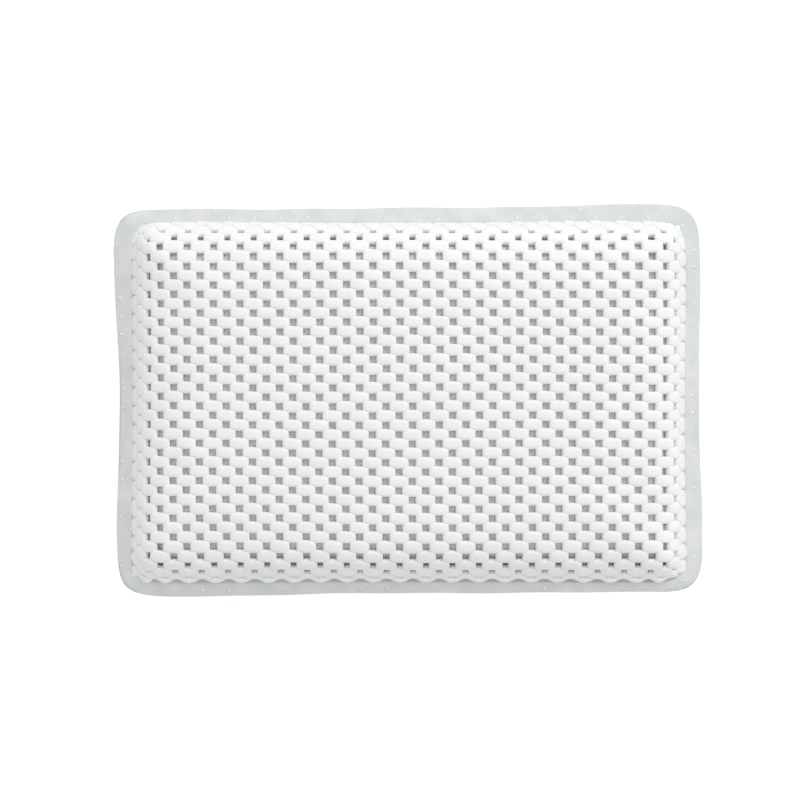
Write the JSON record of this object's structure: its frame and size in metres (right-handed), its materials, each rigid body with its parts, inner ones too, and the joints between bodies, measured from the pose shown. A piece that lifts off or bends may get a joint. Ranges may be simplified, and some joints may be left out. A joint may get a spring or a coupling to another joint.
{
  "type": "bath pillow",
  "caption": "Rectangular bath pillow: crowned open foam-mesh cushion with a pressed hem on a vinyl back sheet, held to the tub wall by suction cups that turn in eyelets.",
  "frame": {"origin": "below the pillow's centre, on the plane of the suction cups' lips", "axes": "+X along the pillow's length, +Y across it, +Z out of the back through the crowned front"},
  "size_m": [0.305, 0.203, 0.033],
  "materials": {
    "foam_mesh": "matt white foamed vinyl on a knitted net, in rows of soft nubs with square gaps",
    "pressed_hem": "pale grey half-clear vinyl, pressed flat, with white specks of foam left in it",
    "core_foam": "fine open-celled pale foam",
    "vinyl_sheet": "soft satin vinyl sheet with a fine grain",
    "clear_vinyl": "clear soft vinyl, glossy, slightly milky"
  },
  "bodies": {
    "pillow": {"mesh_cover": "foam_mesh", "foam_core": "core_foam", "back_sheet": "vinyl_sheet", "eyelet_1": "vinyl_sheet", "eyelet_2": "vinyl_sheet", "eyelet_3": "vinyl_sheet", "eyelet_4": "vinyl_sheet", "eyelet_5": "vinyl_sheet", "eyelet_6": "vinyl_sheet"},
    "cup_1": {"suction_cup_1": "clear_vinyl"},
    "cup_2": {"suction_cup_2": "clear_vinyl"},
    "cup_3": {"suction_cup_3": "clear_vinyl"},
    "cup_4": {"suction_cup_4": "clear_vinyl"},
    "cup_5": {"suction_cup_5": "clear_vinyl"},
    "cup_6": {"suction_cup_6": "clear_vinyl"}
  },
  "joints": [
    {"name": "cup_1_swivel", "type": "hinge", "parent": "pillow", "child": "cup_1", "pos_m": [-0.1, -0.052, 0], "axis": [0, 0, 1], "continuous": true},
    {"name": "cup_2_swivel", "type": "hinge", "parent": "pillow", "child": "cup_2", "pos_m": [0, -0.052, 0], "axis": [0, 0, 1], "continuous": true},
    {"name": "cup_3_swivel", "type": "hinge", "parent": "pillow", "child": "cup_3", "pos_m": [0.1, -0.052, 0], "axis": [0, 0, 1], "continuous": true},
    {"name": "cup_4_swivel", "type": "hinge", "parent": "pillow", "child": "cup_4", "pos_m": [-0.1, 0.052, 0], "axis": [0, 0, 1], "continuous": true},
    {"name": "cup_5_swivel", "type": "hinge", "parent": "pillow", "child": "cup_5", "pos_m": [0, 0.052, 0], "axis": [0, 0, 1], "continuous": true},
    {"name": "cup_6_swivel", "type": "hinge", "parent": "pillow", "child": "cup_6", "pos_m": [0.1, 0.052, 0], "axis": [0, 0, 1], "continuous": true}
  ]
}
